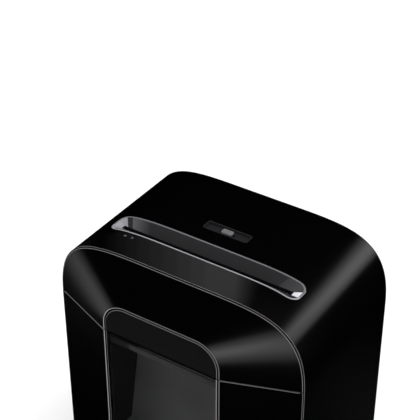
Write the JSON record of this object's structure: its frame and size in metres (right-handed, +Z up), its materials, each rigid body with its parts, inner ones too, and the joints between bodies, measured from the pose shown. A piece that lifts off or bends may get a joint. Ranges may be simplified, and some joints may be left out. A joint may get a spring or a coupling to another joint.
{
  "type": "paper shredder",
  "caption": "Desk-side cross-cut paper shredder: a wrap-round gloss black shell, an arched nose over a smoked window, a pull-out bin and a geared twin-shaft cutting block.",
  "frame": {"origin": "on the floor, under the middle of the machine's box", "axes": "+X to the right as the user faces the nose, +Y towards the back, +Z up"},
  "size_m": [0.3356, 0.228, 0.39],
  "materials": {
    "shell_gloss_black": "high-gloss moulded ABS",
    "nose_gloss_black": "high-gloss moulded ABS",
    "inlay_gloss_black": "gloss with a fine orange-peel",
    "throat_graphite": "metallic graphite moulding",
    "panel_satin_black": "spark-eroded satin",
    "foot_rubber": "matt",
    "deck_black": "glass-filled nylon",
    "plate_steel": "zinc-plated sheet",
    "rod_steel": "turned",
    "screw_zinc": "zinc-plated",
    "bush_bronze": "sintered bronze",
    "stripper_black": "glass-filled nylon",
    "motor_iron": "laminated stack",
    "winding_copper": "enamelled wire",
    "motor_alloy": "die-cast",
    "brush_carbon": "carbon",
    "cutout_cream": "moulded",
    "board_green": "solder resist",
    "standoff_nylon": "natural nylon",
    "component_dark": "moulded packages",
    "gland_black": "moulded",
    "control_black": "satin",
    "switch_dark": "moulded",
    "lens_clear": "frosted light pipe",
    "shaft_steel": "ground bar",
    "disc_steel": "hardened, ground",
    "spacer_steel": "sintered",
    "gear_steel": "sintered, oiled",
    "gear_nylon": "acetal, greased",
    "armature_iron": "varnished laminations",
    "pinion_brass": "machined",
    "fan_black": "moulded",
    "knob_grey": "metallic moulding",
    "flap_grey": "acetal",
    "plunger_red": "acetal",
    "window_smoke": "smoked acrylic",
    "tub_grey": "moulded polypropylene"
  },
  "bodies": {
    "machine": {"wrap_shell": "shell_gloss_black", "nose_fascia": "nose_gloss_black", "arch_inlay": "inlay_gloss_black", "paper_throat": "throat_graphite", "rear_panel": "panel_satin_black", "base_plate": "panel_satin_black", "rubber_feet": "foot_rubber", "head_deck": "deck_black", "left_frame_plate": "plate_steel", "right_frame_plate": "plate_steel", "tie_rods": "rod_steel", "frame_screws": "screw_zinc", "shaft_bushes": "bush_bronze", "front_stripper_comb": "stripper_black", "rear_stripper_comb": "stripper_black", "gearbox_plate": "plate_steel", "gearbox_standoffs": "rod_steel", "idler_axles": "rod_steel", "motor_stator": "motor_iron", "motor_windings": "winding_copper", "motor_drive_bracket": "motor_alloy", "motor_rear_bracket": "motor_alloy", "motor_brushes": "brush_carbon", "motor_cradle": "deck_black", "thermal_cutout": "cutout_cream", "circuit_board": "board_green", "board_standoffs": "standoff_nylon", "board_parts": "component_dark", "terminal_block": "cutout_cream", "cord_gland": "gland_black", "control_plate": "control_black", "selector_switch": "switch_dark", "indicator_lenses": "lens_clear", "sensor_switch": "switch_dark", "interlock_switch": "switch_dark", "case_screws": "screw_zinc", "foot_screws": "screw_zinc"},
    "bin": {"bin_front": "nose_gloss_black", "bin_window": "window_smoke", "bin_tub": "tub_grey", "bin_glides": "standoff_nylon", "bin_screws": "screw_zinc"},
    "rear_cutter": {"rear_cutter_shaft": "shaft_steel", "rear_cutter_discs": "disc_steel", "rear_cutter_spacers": "spacer_steel", "rear_sync_gear": "gear_steel", "final_gear": "gear_nylon"},
    "front_cutter": {"front_cutter_shaft": "shaft_steel", "front_cutter_discs": "disc_steel", "front_cutter_spacers": "spacer_steel", "front_sync_gear": "gear_steel"},
    "second_reduction": {"second_gear": "gear_nylon"},
    "first_reduction": {"first_gear": "gear_nylon"},
    "motor_rotor": {"motor_armature": "armature_iron", "motor_pinion": "pinion_brass", "cooling_fan": "fan_black"},
    "selector": {"selector_knob": "knob_grey"},
    "paper_flap": {"sensor_flap": "flap_grey"},
    "lock_plunger": {"interlock_plunger": "plunger_red"}
  },
  "joints": [
    {"name": "motor_spin", "type": "hinge", "parent": "machine", "child": "motor_rotor", "pos_m": [0.09, 0.0668, 0.336], "axis": [1, 0, 0], "continuous": true},
    {"name": "first_gear_spin", "type": "hinge", "parent": "machine", "child": "first_reduction", "pos_m": [0.127, 0.05042, 0.35186], "axis": [1, 0, 0], "continuous": true},
    {"name": "second_gear_spin", "type": "hinge", "parent": "machine", "child": "second_reduction", "pos_m": [0.134, 0.02728, 0.34], "axis": [1, 0, 0], "continuous": true},
    {"name": "rear_cutter_spin", "type": "hinge", "parent": "machine", "child": "rear_cutter", "pos_m": [0, -0.0072, 0.334], "axis": [1, 0, 0], "continuous": true},
    {"name": "front_cutter_spin", "type": "hinge", "parent": "machine", "child": "front_cutter", "pos_m": [0, -0.0372, 0.334], "axis": [1, 0, 0], "continuous": true},
    {"name": "bin_slide", "type": "slide", "parent": "machine", "child": "bin", "axis": [0, -1, 0], "range_m": [0, 0.165]},
    {"name": "lock_travel", "type": "slide", "parent": "machine", "child": "lock_plunger", "axis": [0, -1, 0], "range_m": [0, 0.004]},
    {"name": "selector_slide", "type": "slide", "parent": "machine", "child": "selector", "axis": [1, 0, 0], "range_m": [-0.007, 0.007]},
    {"name": "flap_tilt", "type": "hinge", "parent": "machine", "child": "paper_flap", "pos_m": [0.06, -0.0422, 0.359], "axis": [-1, 0, 0], "range_deg": [0, 25], "stiffness_Nm_per_rad": 0.002, "springref_deg": -11.46}
  ],
  "couplings": [
    {"joint": "first_gear_spin", "follows": "motor_spin", "ratio": -0.26667},
    {"joint": "second_gear_spin", "follows": "motor_spin", "ratio": 0.08},
    {"joint": "rear_cutter_spin", "follows": "motor_spin", "ratio": -0.021818},
    {"joint": "front_cutter_spin", "follows": "motor_spin", "ratio": 0.021818},
    {"joint": "lock_travel", "follows": "bin_slide", "ratio": 0.024241}
  ]
}
